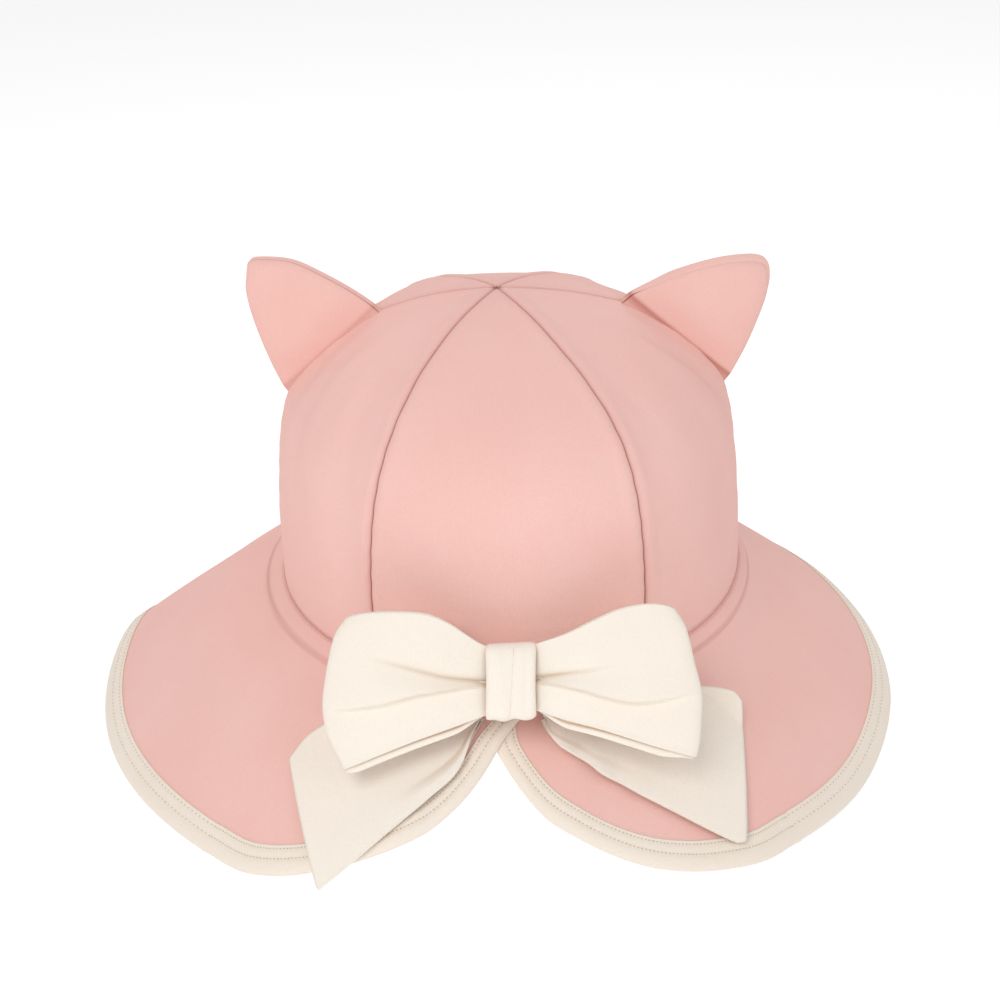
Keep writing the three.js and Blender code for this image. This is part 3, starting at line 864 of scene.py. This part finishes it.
@dataclass
class Brim:
    """The brim's doubled cloth, the binding round its edge and the stitches in it."""

    form: HatForm
    room: Workroom
    cloth: float = 2.0
    bound: float = 6.8  # the binding's width in plan
    bind_cloth: float = 0.7  # how far the tape stands off the brim's cloth
    tape_width: float = 24.0  # before it is folded
    tucked: float = 1.2  # the brim's cloth ends this far inside the binding's fold
    rows: tuple[float, float] = (1.1, 3.7)  # stitch rows, in plan from the binding's inner edge
    wrap: float = 0.08  # share of the tape that goes round the edge, each side of its middle

    def build(self) -> None:
        """Makes the brim's three panels with their binding and stitches."""
        for word in ("left", "right", "front"):
            panel = BrimPanel(self.form, word)
            self._cloth(panel)
            self._tape(panel)
            for row, inset in enumerate(self.rows, start=1):
                self._stitch_row(panel, row, self.bound - inset)

    def _cloth(self, panel: BrimPanel) -> None:
        """The panel's upper and under cloth as one quilted thickness."""
        form = self.form

        def lie(column: float, row: float) -> Vector:
            """Point in plan of a corner of the grid."""
            u = 1 - column if panel.word == "right" else column
            return panel.foot(u).lerp(panel.drawn_in(u, self.tucked), row)

        def place(column: float, row: float) -> Vector:
            """The upper surface."""
            return panel.over(lie(column, row), 0.0)

        def crease(column: float, row: float) -> float:
            """Shaded at the turned seam's edge, at the crown and at the side seams."""
            point = lie(column, row)
            radius, _ = form.polar(point.x, point.y)
            band = form.seam_width + form.band_width
            side = 0.5 * (bump(0, 0.002, column) + bump(1, 0.002, column)) if radius > 100 else 0.0
            turned = 0.45 * bump(band + 0.4, 0.5, radius)
            return turned + 0.6 * bump(form.seam_width, 0.5, radius) + side

        across = math.hypot(form.reach, form.brim_drop)
        size = (panel.length * 0.8, across)
        made = self.room.cloth(f"brim_{panel.word}_cloth", (120, 80), place, size, PINK, self.cloth, crease)
        self._sew(made, panel, "pink_cotton", panel.nodes)
        panel.length

    def _tape(self, panel: BrimPanel) -> None:
        """The binding: a folded tape from the upper surface round the edge to the underside."""
        middle, tall = -self.cloth / 2, self.cloth / 2 + self.bind_cloth
        turn_start, turn_end = 0.5 - self.wrap, 0.5 + self.wrap

        def place(column: float, row: float) -> Vector:
            """Across the tape, row runs from the top, round the edge, to the underside."""
            u = 1 - column if panel.word == "right" else column
            if row < turn_start:
                inset = mix(self.bound, tall, row / turn_start)
                hem = self.bind_cloth * (1 - 0.6 * bump(self.bound, 0.3, inset))
                sewn = sum(0.28 * bump(self.bound - at, 0.6, inset) for at in self.rows)
                pucker = 0.1 * math.sin(u * panel.length * 1.1) * bump(self.bound - 3, 2.5, inset)
                return panel.over(panel.drawn_in(u, inset), hem - sewn + pucker)
            if row > turn_end:
                inset = mix(tall, self.bound, (row - turn_end) / (1 - turn_end))
                return panel.over(panel.drawn_in(u, inset), middle - tall)
            swing = math.pi * (row - turn_start) / (2 * self.wrap)
            point = panel.drawn_in(u, tall * (1 - math.sin(swing)))
            return panel.over(point, middle + tall * math.cos(swing))

        def crease(column: float, row: float) -> float:
            """Shaded where the hem meets the cloth."""
            return 0.45 * (bump(0.0, 0.008, row) + bump(1.0, 0.008, row))

        size = (panel.length, self.tape_width)
        cuts = (round(panel.length / 1.6), 44)
        tape = self.room.cloth(f"binding_{panel.word}_tape", cuts, place, size, TAPE, 0.5, crease)
        self._sew(tape, panel, "cream_cotton", panel.binding_nodes)

    def _stitch_row(self, panel: BrimPanel, number: int, inset: float) -> None:
        """One row of stitches along the binding."""

        def path(share: float) -> tuple[Vector, Vector]:
            """The row, a little sunk into the tape."""
            point = panel.drawn_in(share, inset)
            return panel.over(point, self.bind_cloth - 0.3), facing(point)

        name = f"binding_{panel.word}_stitches_{number}"
        row = self.room.stitches(name, path, panel.length, CREAM_THREAD)
        self._sew(row, panel, "cream_cotton", [])

    def _sew(self, piece: bpy.types.Object, panel: BrimPanel, slot: str, nodes: list[str]) -> None:
        """Bakes a piece's place into its mesh, in place of its CAD nodes."""
        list(panel.fold())
        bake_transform(piece)
        sewn(piece, slot, *nodes)


# ---------------------------------------------------------------- ears


@dataclass(frozen=True)
class EarPattern:
    """One ear's outline from the root to the tip, as radius and height in millimetres."""

    upper: Points
    outer: Points
    slip: tuple[float, float]  # from the outline to the panels' seam
    shade: float  # how dark the crease at the root is


@dataclass
class Ear:
    """One stuffed ear: a back and a front panel sewn together along their edges."""

    form: HatForm
    room: Workroom
    side: Side
    seam: float = 1.0  # how far behind the ear's middle plane the panels meet
    ridge: float = -1.6  # and how far in front of it the outline lies
    puff: dict[str, float] = field(default_factory=lambda: {"back": 2.6, "front": 5.6})
    buried: float = 3.2  # how far the root goes into the crown
    rim: float = 0.1  # share of the front panel that wraps round to the seam, at each edge
    fill: float = 0.7  # how tightly it is stuffed
    cut: tuple[float, float] = (50.0, 52.0)  # the cloth of one panel
    inwards: tuple[float, float] = (0.68, 0.73)  # from the tip to the root, in the ear's plane
    away: tuple[float, float, float] = (0.746, 0.136, 0.652)  # from the root to the right ear's tip
    bend: tuple[float, float] = (-4.0, 7.0)  # the ear flops from here to there past its hinge

    patterns: ClassVar[dict[Side, EarPattern]] = {
        Side.LEFT: EarPattern(
            upper=((42, 91.5), (50, 97), (60.4, 102.8), (69, 106.8), (75, 107.9), (84, 107.8),
                   (85.2, 107.1)),
            outer=((75.4, 60.6), (80.4, 72.8), (84.8, 86.8), (86.6, 97), (86.1, 102), (85.5, 106),
                   (85.2, 107.1)),
            slip=(0.1, 0.1),
            shade=0.35,
        ),
        Side.RIGHT: EarPattern(
            upper=((45, 92.5), (54.7, 96.4), (62.4, 99.3), (77.7, 102.2), (89.2, 102.3), (93.6, 101),
                   (94.8, 99.4)),
            outer=((80.5, 59.3), (87.3, 71.1), (93.3, 85.5), (95.2, 93), (95.4, 96.4), (95.2, 98.4),
                   (94.8, 99.4)),
            slip=(-1.1, -1.4),
            shade=0.8,
        ),
    }

    def build(self) -> None:
        """Makes both panels."""
        for face in ("back", "front"):
            self._panel(face)

    def _flat(self, p: float, q: float, slip: float) -> Vector:
        """A point of the ear as radius and height.

        Args:
            p: 0 at the upper edge to 1 at the outer edge.
            q: 0 at the root to 1 at the tip.
            slip: 1 on the panels' seam to 0 on the outline.

        Returns:
            The point.
        """
        pattern = self.patterns[self.side]
        point = along(pattern.upper, q).lerp(along(pattern.outer, q), p)
        point += Vector(pattern.slip) * slip * smooth(0, 0.3, q)
        return point - Vector(self.inwards) * self.buried * (1 - smooth(0, 0.05, q))

    def _panel(self, face: str) -> None:
        """One panel, puffed by the stuffing."""
        form = self.form
        turn = math.radians(form.ears[0])
        outwards = Vector((math.sin(turn), -math.cos(turn) * form.seam_depth / form.seam_width, 0))
        outwards.normalize()
        back = Vector((outwards.y, -outwards.x, 0))
        flip = (face == "back") == (self.side is Side.RIGHT)

        def shape(column: float, q: float) -> tuple[Vector, float]:
            """The place in the ear's plane, and the distance behind it."""
            if face == "front" and min(column, 1 - column) < self.rim:
                bend = math.pi / 2 * min(column, 1 - column) / self.rim
                flat = self._flat(0.0 if column < 0.5 else 1.0, q, 1 - math.sin(bend))
                return flat, mix(self.ridge, self.seam, math.cos(bend))
            edge, start = (self.seam, 0.0) if face == "back" else (self.ridge, self.rim)
            p = 0.5 - 0.5 * math.cos(math.pi * (column - start) / (1 - 2 * start))
            flat = self._flat(p, q, 1.0 if face == "back" else 0.0)
            across = max(1 - abs(2 * p - 1) ** 2.6, 0.0) ** 0.6
            full = self.puff[face] * mix(0.3, 1.0, smooth(0, 0.3, q)) * (1 - q**4) ** 0.6
            full += noise.noise(Vector((flat.x, flat.y, 7.0 * self.side.value)) * 0.08) * 0.5
            return flat, edge + (1 if face == "back" else -1) * full * across

        def place(column: float, row: float) -> Vector:
            """A point of the panel."""
            flat, behind = shape(1 - column if flip else column, row)
            point = outwards * flat.x + back * behind + Vector((0, 0, flat.y))
            point.x *= self.side.value
            return point

        def crease(column: float, row: float) -> float:
            """Shaded along the panels' seam and at the root."""
            seam = bump(0, 0.012, column) + bump(1, 0.012, column)
            return 0.5 * seam + self.patterns[self.side].shade * bump(0.035, 0.016, row)

        name = f"ear_{self.side.word}_{face}"
        made = self.room.cloth(f"{name}_cloth", (52, 52), place, self.cut, PINK, 0.6, crease)
        joint = next(j for j in frame["joints"] if j["name"] == f"{self.side.word}_ear_flop")
        away = Vector(self.away)
        away.x *= self.side.value
        start, end = (Vector(joint["pos_m"]) + away * step * MM for step in self.bend)
        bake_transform(made)
        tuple(start)
        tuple(end)
        filling = [f"ear_{self.side.word}_filling"] if face == "back" else []
        sewn(made, "pink_cotton", name, *filling)


# ---------------------------------------------------------------- bow


@dataclass(frozen=True)
class LoopPattern:
    """One loop seen from in front, in millimetres from the knot's centre, outwards and up."""

    top: Points
    low: Points
    end: Points  # share of the loop's height, and how far out its end lies there
    valley: Points  # the soft fold from the knot
    step: Points  # the sharp fold below it
    fade: tuple[float, float]  # where the soft fold dies out


@dataclass(frozen=True)
class TailPattern:
    """One tail seen from in front: its outer and inner edges from the knot to the far end."""

    outer: Points
    inner: Points
    curl: float  # how far its inner edge stands up near the knot
    ripple: float  # height of the waves near the knot


@dataclass
class Bow:
    """The bow: a knot, two loops of doubled cloth and two tails lying on the brim."""

    form: HatForm
    room: Workroom
    centre: Vector = field(default_factory=lambda: sum(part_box("bow_knot"), Vector()) / 2 / MM)
    tilt: float = 26.0
    turn: float = 2.0  # the whole bow is turned a little, right side down
    knot: tuple[float, float, float] = (15.4, 22.4, 12.0)  # across, up and out
    knot_out: float = 3.2  # how far the soft knot stands in front of its CAD's middle
    knot_girth: float = 62.0
    middle: float = 5.0  # the loops' middle plane in front of the knot's
    loop_half: float = 5.6  # half of a loop's depth
    fold_depth: float = 2.4  # of the soft fold from the knot
    inner_drop: float = 2.6  # how far the inner layer shows below the outer
    loop_cloth: tuple[float, float] = (125.0, 40.0)  # as its threads lie
    loop_cut: tuple[float, float] = (125.0, 45.0)  # the rectangle that its flat cut fits in
    tail_cloth: tuple[float, float] = (74.0, 44.0)
    tail_cut: tuple[float, float] = (76.0, 45.0)
    tail_off: float = 3.8  # how far a tail's face lies above the brim
    belly: float = 0.8  # how far a tail's end curves out

    loops: ClassVar[dict[Side, LoopPattern]] = {
        Side.LEFT: LoopPattern(
            top=((6, 10.6), (10, 12.2), (14, 14.8), (19, 18.1), (25, 20.8), (31, 21.8), (44, 21.8),
                 (52, 20.2), (57, 17)),
            low=((6, -9.8), (16.4, -13.6), (28.8, -18.0), (41.2, -22.9), (52.4, -27.6), (60, -30.4)),
            end=((0, 52.4), (0.12, 54.8), (0.28, 57.8), (0.45, 59.2), (0.6, 58.8), (0.8, 57.2), (0.93, 55.3),
                 (1, 51.5)),
            valley=((6, -0.4), (12, 0.3), (21.3, 1.5), (33.8, 4.8), (44, 7.4)),
            step=((6, -1.2), (14.5, -1.9), (28.8, -4.0), (40, -6.8), (52, -8.6)),
            fade=(26, 48),
        ),
        Side.RIGHT: LoopPattern(
            top=((6, 11.4), (10, 12.6), (17, 15.0), (26.5, 19.6), (34, 22.8), (41.8, 24.4), (48, 24.2),
                 (54, 22.2), (58, 20)),
            low=((6, -8.2), (16.2, -11.6), (26.5, -14.2), (35.5, -17.0), (45, -20), (58.6, -23.8), (62, -25)),
            end=((0, 58.4), (0.12, 59.4), (0.3, 60.0), (0.48, 60.0), (0.7, 57.6), (0.9, 55.0), (1, 51.5)),
            valley=((6, 0.6), (12, 1.8), (18, 2.8), (26, 4.0), (34, 6)),
            step=((6, 0.0), (14, -0.9), (22.6, -2.6), (30, -4.8), (38, -6.4), (45, -5.8), (52, -4.4),
                  (60, -3.4)),
            fade=(12, 34),
        ),
    }
    tails: ClassVar[dict[Side, TailPattern]] = {
        Side.LEFT: TailPattern(
            outer=((9, -10), (30, -10), (53, -12.6), (65, -18.6), (71.4, -26.2)),
            inner=((9.5, -12.5), (12.4, -18), (15, -25), (19.6, -31), (29.6, -39.4), (41.8, -49.4),
                   (52, -57.8), (60.6, -64.6)),
            curl=2.4,
            ripple=0.5,
        ),
        Side.RIGHT: TailPattern(
            outer=((9, -8), (30, -5.4), (62, -4.0), (73, -5.6), (75.8, -8.6)),
            inner=((11, -13.5), (13.2, -18.6), (18.8, -22.4), (29.8, -29.6), (51.5, -41.0), (72.6, -51.6),
                   (75.2, -51.4)),
            curl=0.8,
            ripple=1.2,
        ),
    }

    def build(self) -> None:
        """Makes the knot, loops and tails."""
        self._knot()
        for side in Side:
            self._loop(side, "outer")
            self._loop(side, "inner")
            self._tail(side)

    def _at(self, u: float, v: float, w: float) -> Vector:
        """A place from right, up and out of the bow."""
        turn, lean = math.radians(self.turn), math.radians(self.tilt)
        across = u * math.cos(turn) + v * math.sin(turn)
        rise = v * math.cos(turn) - u * math.sin(turn)
        up = Vector((0, math.sin(lean), math.cos(lean)))
        out = Vector((0, -math.cos(lean), math.sin(lean)))
        return self.centre + Vector((across, 0, 0)) + up * rise + out * w

    def _knot(self) -> None:
        """The band round the middle of the bow, with soft folds across it."""
        wide, tall, thick = self.knot

        def place(column: float, row: float) -> Vector:
            """Row runs across the band, column round it."""
            u = (row - 0.5) * wide
            turn, power = math.tau * column, 4.0
            cosine, sine = math.cos(turn), math.sin(turn)
            reach = (abs(cosine) ** power + abs(sine) ** power) ** (-1 / power)
            hem = smooth(wide / 2 - 1.3, wide / 2, abs(u))
            v = sine * reach * (tall / 2 - 0.5 * hem)
            w = cosine * reach * (thick / 2 - 1.1 * hem) + self.knot_out
            drift = 0.06 * v
            folds = 0.5 * bump(-3.6, 1.6, u + drift) - 0.6 * bump(0.4, 0.8, u - drift)
            folds += 0.45 * bump(3.0, 1.2, u)
            low = 0.35 * math.sin(u * 0.9 + 0.4) * smooth(0.5, 1.0, -sine)
            waist = 1 - 0.05 * (1 - (2 * v / tall) ** 2)
            return self._at(u * waist, v + low + 0.05 * u, w + folds * smooth(0, 0.6, cosine))

        def crease(column: float, row: float) -> float:
            """Shaded at the band's two edges."""
            return 0.25 * (bump(0, 0.03, row) + bump(1, 0.03, row))

        cut = (self.knot_girth, wide)
        made = self.room.cloth("bow_knot_band", (96, 48), place, cut, CREAM, 0.9, crease)
        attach(made, "crown")
        sewn(made, "cream_cotton", "bow_knot", "bow_core")

    def _loop(self, side: Side, layer: str) -> None:
        """One of a loop's two layers: a strip from the knot, round the end and back behind."""
        pattern = self.loops[side]
        inner = layer == "inner"

        def fold(u: float, v: float) -> float:
            """How far the front stands out, by its soft fold and the sharp one below it."""
            valley, step = through(pattern.valley, u), through(pattern.step, u)
            deep = self.fold_depth * (1 - smooth(*pattern.fade, u))
            ridge = mix(0.3, 1.3, smooth(6, 24, u)) * (1 - 0.5 * smooth(44, 60, u))
            if v > valley:
                return -deep * math.exp((valley - v) / mix(1.4, 5, smooth(8, 45, u)))
            if v > step:
                return mix(ridge, -deep, smooth(0, 1, (v - step) / (valley - step)))
            under = step - v
            fallen, risen = (1 - math.exp(-under / width) for width in (0.35, 4))
            return ridge - 2 * ridge * fallen + ridge * risen

        def lie(column: float, row: float) -> tuple[float, float, float]:
            """How far out, up and forward a corner of the strip is."""
            swing = math.pi * column
            bulge = (1 - abs(math.cos(swing)) ** 2.3) ** (1 / 2.3)
            u = mix(5.0, through(pattern.end, row) - (0.9 if inner else 0.0), bulge)
            depth = math.copysign(abs(math.cos(swing)) ** 0.6, math.cos(swing))
            v = mix(through(pattern.low, u), through(pattern.top, u), row)
            full = mix(0.3, 1.0, smooth(6, 28, u)) * (0.75 + 0.25 * math.sin(math.pi * row))
            w = self.middle + depth * self.loop_half * full
            if inner:
                shown = smooth(7, 18, u) * (1 - 0.7 * smooth(46, 58, u))
                v -= self.inner_drop * (1 - row) ** 2 * shown + 0.7 * row
                w -= depth * 1.1
            elif column < 0.5:
                w += 0.5 * bump(0, 0.03, row)
            if column < 0.5:
                w += fold(u, v) * (1 - smooth(0.85, 1.0, bulge))
            wall = 9.0 * side.value + 20 * (column < 0.5)
            w += noise.noise(Vector((u, v, wall)) * 0.05) * smooth(8, 20, u)
            return u, v, w

        def place(column: float, row: float) -> Vector:
            """Column runs along the strip, row up it."""
            u, v, w = lie(column if side is Side.RIGHT else 1 - column, row)
            return self._at(side.value * u, v, w)

        def crease(column: float, row: float) -> float:
            """Shaded at the knot, in the folds, and on the inner layer behind the outer's edge."""
            column = column if side is Side.RIGHT else 1 - column
            u, v, _ = lie(column, row)
            near = 0.5 * math.exp(-max(u - 7.4, 0.0) / 0.8)
            if inner:
                return near + 0.9 * bump(0.06, 0.016, row)
            fade = 1 - smooth(*pattern.fade, u)
            soft = 0.5 * fade * bump(through(pattern.valley, u), 0.7, v)
            sharp = 0.25 * (1 - smooth(30, 52, u)) * bump(through(pattern.step, u), 0.6, v)
            return near + (soft + sharp if column < 0.5 else 0.0)

        name = f"bow_loop_{side.word}_{layer}"
        made = self.room.cloth(name, (120, 90), place, self.loop_cloth, CREAM, 0.6, crease)
        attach(made, f"{side.word}_loop")
        sewn(made, "cream_cotton", *([] if inner else [f"bow_loop_{side.word}"]))

    def _tail(self, side: Side) -> None:
        """A tail: a flat doubled strip from under the knot, lying along the brim."""
        pattern = self.tails[side]
        form = self.form

        def onto(u: float, v: float, lift: float) -> Vector:
            """Slides a point along the bow's depth until it lies on the brim."""
            near, far = -30.0, 60.0
            for _ in range(20):
                w = (near + far) / 2
                point = self._at(u, v, w)
                if point.z < form.under(point.x, point.y) + lift:
                    near = w
                else:
                    far = w
            return self._at(u, v, w)

        def place(column: float, row: float) -> Vector:
            """Column runs from the knot to the far end, row from the outer to the inner edge."""
            row = 1 - row if side is Side.RIGHT else row
            flat = along(pattern.outer, column).lerp(along(pattern.inner, column), row)
            flat.x += self.belly * max(math.sin(math.pi * row), 0.0) ** 0.4 * column**10
            near = 1 - smooth(0.2, 0.6, column)
            wave = 0.6 * math.sin(2.6 * row + 5 * column) * smooth(0.1, 0.4, column)
            ripple = pattern.ripple * near * math.sin(flat.x * 0.5) * smooth(0.3, 0.9, row)
            curl = pattern.curl * near * smooth(0.82, 0.9, row)
            off = 1.6 * math.sin(math.pi * column) * smooth(0.5, 1.0, row)
            hang = 1.6 * smooth(0.8, 1.0, column) * row if side is Side.LEFT else 0.0
            lift = self.tail_off + wave + ripple + curl + off + hang
            return onto(side.value * flat.x, flat.y, lift)

        def crease(column: float, row: float) -> float:
            """Shaded where the inner edge rolls up."""
            row = 1 - row if side is Side.RIGHT else row
            return 0.2 * pattern.curl * (1 - smooth(0.2, 0.6, column)) * bump(0.82, 0.025, row)

        name = f"bow_tail_{side.word}_cloth"
        made = self.room.cloth(name, (64, 60), place, self.tail_cloth, CREAM, 1.3, crease)
        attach(made, f"{side.word}_tail")
        sewn(made, "cream_cotton", f"bow_tail_{side.word}")


# ---------------------------------------------------------------- studio


@dataclass
class Studio:
    """The camera, the pale floor and the soft lights."""

    target: tuple[float, float, float] = (-1.4, 0.0, 20.8)
    elevation: float = 26.2
    distance: float = 900.0
    lens: float = 92.2
    roll: float = -2.0
    floor_below: float = 250.0  # far enough that no dark shadow shows round the hat
    floor_half: float = 6000.0
    # name, place, side and watts of each soft lamp
    lamps: ClassVar[tuple[tuple[str, tuple[float, float, float], float, float], ...]] = (
        ("key", (-450, -1150, 1150), 800, 9.2),
        ("fill", (900, -900, 900), 1000, 1.8),
        ("rear", (100, 1100, 900), 1000, 3.2),
    )

    def build(self) -> None:
        """Sets up everything that isn't the hat."""
        scene = bpy.context.scene
        scene.view_settings.view_transform = "Standard"
        self._camera(scene)
        self._floor()
        self._world(scene)
        for lamp in self.lamps:
            self._lamp(*lamp)

    def _camera(self, scene: bpy.types.Scene) -> None:
        """Puts the camera behind and above the hat."""
        data = bpy.data.cameras.new("camera")
        data.lens = self.lens
        data.clip_start = 0.05
        camera = bpy.data.objects.new("camera", data)
        scene.collection.objects.link(camera)
        lift = math.radians(self.elevation)
        back = Vector((0, -math.cos(lift), math.sin(lift)))
        camera.location = (Vector(self.target) + back * self.distance) * MM
        camera.rotation_euler = (math.radians(90 - self.elevation), 0, 0)
        camera.rotation_euler.rotate_axis("Z", math.radians(self.roll))
        scene.camera = camera

    def _floor(self) -> None:
        """A wide white floor, well below the hat as if it hung in a light tent."""
        shape = bmesh.new()
        bmesh.ops.create_grid(shape, x_segments=1, y_segments=1, size=self.floor_half * MM)
        mesh = bpy.data.meshes.new("floor")
        shape.to_mesh(mesh)
        shape.free()
        mesh.transform(Matrix.Translation((0, 0, CAD_BOX[0].z - self.floor_below * MM)))
        floor = bpy.data.objects.new("floor", mesh)
        bpy.context.scene.collection.objects.link(floor)
        # matt white paper, lit from all round: it shines back a little, so shadows on it stay pale
        material = bpy.data.materials.new("white_paper")
        material.use_nodes = True
        shader = material.node_tree.nodes["Principled BSDF"]
        shader.inputs["Base Color"].default_value = linear("#FBFBFB")
        shader.inputs["Roughness"].default_value = 0.9
        shader.inputs["Emission Color"].default_value = linear("#FFFFFF")
        shader.inputs["Emission Strength"].default_value = 0.3
        mesh.materials.append(material)

    def _world(self, scene: bpy.types.Scene) -> None:
        """Even white light from all round."""
        world = bpy.data.worlds.new("studio")
        world.use_nodes = True
        sky = world.node_tree.nodes["Background"]
        sky.inputs["Color"].default_value = (1.0, 1.0, 1.0, 1.0)
        sky.inputs["Strength"].default_value = 0.6
        scene.world = world

    def _lamp(self, name: str, place: tuple[float, float, float], size: float, power: float) -> None:
        """A square soft lamp that faces the hat.

        Args:
            name: The lamp's name.
            place: Where it stands, in millimetres.
            size: The length of its side in millimetres.
            power: Its power in watts.
        """
        data = bpy.data.lights.new(name, "AREA")
        data.size = size * MM
        data.energy = power
        lamp = bpy.data.objects.new(name, data)
        bpy.context.scene.collection.objects.link(lamp)
        lamp.location = Vector(place) * MM
        lamp.rotation_euler = (-Vector(place)).to_track_quat("-Z", "Y").to_euler()


def main() -> None:
    """Builds the studio and every piece of the hat."""
    logging.basicConfig(level=logging.INFO, format="%(message)s")
    form, room = HatForm(), Workroom()
    ears = [Ear(form, room, side) for side in Side]
    Studio().build()
    for part in (Crown(form, room), Brim(form, room), *ears, Bow(form, room)):
        LOG.info("building %s", type(part).__name__)
        part.build()


if __name__ == "__main__":
    main()
